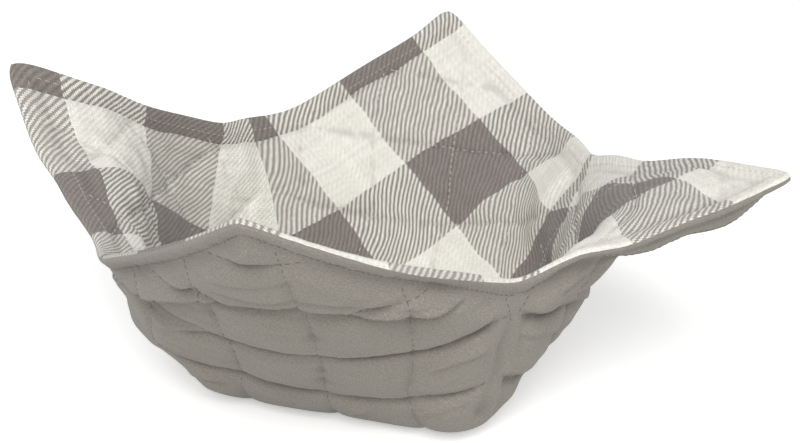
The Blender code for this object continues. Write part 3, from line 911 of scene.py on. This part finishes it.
def rimStitches():
    # a line round the closed cloth at the topstitch's distance, given back as places on the flat cloth
    inset = half - pattern["topstitch"]
    last = inset - stitching["rimStart"]
    places = np.arange(-last, last, stitching["rimPitch"])
    starts, ends = [], []
    for a, b in ((1, 0), (-1, 0), (0, 1), (0, -1)):
        for points, shift in ((starts, 0), (ends, stitching["rimLength"])):
            along = places + shift
            s = np.full_like(along, inset * a) if a else along
            t = np.full_like(along, inset * b) if b else along
            points.append(np.stack(openDarts(*roundCorners(s, t)), -1))
    starts, ends = np.concatenate(starts), np.concatenate(ends)
    # a stitch over a dart's mouth would be drawn right across it on the flat cloth
    keep = np.linalg.norm(ends - starts, axis=1) < 2 * stitching["rimLength"]
    return starts[keep], ends[keep]


linerPiece = clothPiece("quiltedLiner", checkMaterial(), False)
print("liner made")
outerPiece = clothPiece("quiltedOuter", greyMaterial(), True)
print("outer cloth made")


def waddingPiece():
    # a closed pad between the two cloths, a little short of both and of the rim
    places = np.linspace(wadding["margin"] - half, half - wadding["margin"], wadding["points"])
    s, t = np.meshgrid(places, places, indexing="ij")
    top = onFace(s, t, readTable(linerDepth, s, t) + wadding["linerGap"])
    bottom = onFace(s, t, readTable(outerDepth, s, t) - wadding["outerGap"])
    points = np.concatenate([top.reshape(-1, 3), bottom.reshape(-1, 3)])
    count = len(places)
    index = np.arange(count * count).reshape(count, count)
    edge = np.concatenate([index[:-1, 0], index[-1, :-1], index[:0:-1, -1], index[0, :0:-1]])
    after = np.roll(edge, -1)
    shift = count * count
    side = np.stack([edge, after, after + shift, edge + shift], -1)
    faces = np.concatenate([gridFaces(count, count, False), gridFaces(count, count, True) + shift,
                            side[:, ::-1]])
    return meshObject("wadding", points, faces, waddingMaterial())


waddingPad = waddingPiece()
creamThread = threadMaterial("creamThread", thread["cream"])
paleThread = threadMaterial("paleThread", thread["pale"])
greyThread = threadMaterial("greyThread", thread["grey"])
starts, ends = quiltStitches()
inside, outside = dict(stitching["thread"], side=1), dict(stitching["thread"], side=-1)
threads = [
    stitchPiece("linerQuiltingThread", creamThread, starts, ends, linerDepth, inside),
    stitchPiece("outerQuiltingThread", greyThread, starts, ends, outerDepth, outside),
]
starts, ends = rimStitches()
insideRim = dict(stitching["rimThread"], side=1)
threads += [
    stitchPiece("linerRimThread", paleThread, starts, ends, linerDepth, insideRim),
    stitchPiece("outerRimThread", greyThread, starts, ends, outerDepth, outside),
]
print("stitches made")

for piece in (linerPiece, outerPiece, waddingPad, *threads):
    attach(piece, "root")
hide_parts("check_liner")
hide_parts("outer_cover")
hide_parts("batting")

# Studio: a pale floor, a soft sky and two large soft lamps
studio = {
    "floor": "#F2F2F1",
    "floorSize": 12.0,
    "floorRoughness": 0.9,
    "floorGlow": 0.45,        # added where the floor is seen, so that it is white but for the shadow
    "sky": 0.42,
    "key": {"at": (-0.7, -1.1, 1.35), "size": 1.1, "watts": 29.0},
    "fill": {"at": (1.2, -1.1, 0.8), "size": 1.6, "watts": 1.3},
    "aim": (0, 0, 0.04),      # of both lamps
}
camera = {
    "azimuth": -29.87,
    "elevation": 21.53,
    "distance": 0.5319,
    "focus": (0.00906, -0.00423, 0.05267),
    "lens": 66.3,
    "clip": (0.01, 50),
}


def addLamp(name, at, size, watts):
    lamp = bpy.data.lights.new(name, "AREA")
    lamp.energy = watts
    lamp.size = size
    item = bpy.data.objects.new(name, lamp)
    item.location = at
    item.rotation_euler = (Vector(studio["aim"]) - Vector(at)).to_track_quat("-Z", "Y").to_euler()
    bpy.context.scene.collection.objects.link(item)


def seenOutright(tree):
    # 1 for a ray from the camera, off a gloss or through glass, so that the backdrop looks white there
    path = addNode(tree, "ShaderNodeLightPath").outputs
    seen = maths(tree, "ADD", path["Is Camera Ray"], path["Is Glossy Ray"])
    return maths(tree, "MINIMUM", maths(tree, "ADD", seen, path["Is Transmission Ray"]), 1.0)


def addStudio():
    side = studio["floorSize"] / mm / 2
    corners = np.array([(-side, -side, 0), (side, -side, 0), (side, side, 0), (-side, side, 0)], float)
    material = bpy.data.materials.new("studioFloor")
    material.use_nodes = True
    shader = material.node_tree.nodes["Principled BSDF"]
    shader.inputs["Base Color"].default_value = hexColour(studio["floor"])
    shader.inputs["Roughness"].default_value = studio["floorRoughness"]
    tree = material.node_tree
    shader.inputs["Emission Color"].default_value = (1, 1, 1, 1)
    glow = maths(tree, "MULTIPLY", seenOutright(tree), studio["floorGlow"])
    tree.links.new(glow, shader.inputs["Emission Strength"])
    floor = meshObject("studioFloor", corners, np.array([[0, 1, 2, 3]]), material)
    for name in ("key", "fill"):
        addLamp(name + "Lamp", studio[name]["at"], studio[name]["size"], studio[name]["watts"])
    world = bpy.data.worlds.new("softSky")
    bpy.context.scene.world = world
    world.use_nodes = True
    tree = world.node_tree
    background = tree.nodes["Background"]
    seen = seenOutright(tree)
    strength = maths(tree, "ADD", studio["sky"], maths(tree, "MULTIPLY", seen, 1 - studio["sky"]))
    tree.links.new(strength, background.inputs["Strength"])
    background.inputs["Color"].default_value = (1, 1, 1, 1)


def addCamera():
    lens = bpy.data.cameras.new("camera")
    lens.lens = camera["lens"]
    item = bpy.data.objects.new("camera", lens)
    bpy.context.scene.collection.objects.link(item)
    a, e = radians(camera["azimuth"]), radians(camera["elevation"])
    back = Vector((np.sin(a) * np.cos(e), -np.cos(a) * np.cos(e), np.sin(e)))
    item.location = Vector(camera["focus"]) + back * camera["distance"]
    item.rotation_euler = (-back).to_track_quat("-Z", "Y").to_euler()
    lens.clip_start, lens.clip_end = camera["clip"]
    bpy.context.scene.camera = item


addStudio()
addCamera()
bpy.context.scene.view_settings.view_transform = "Standard"
print("studio and camera set")
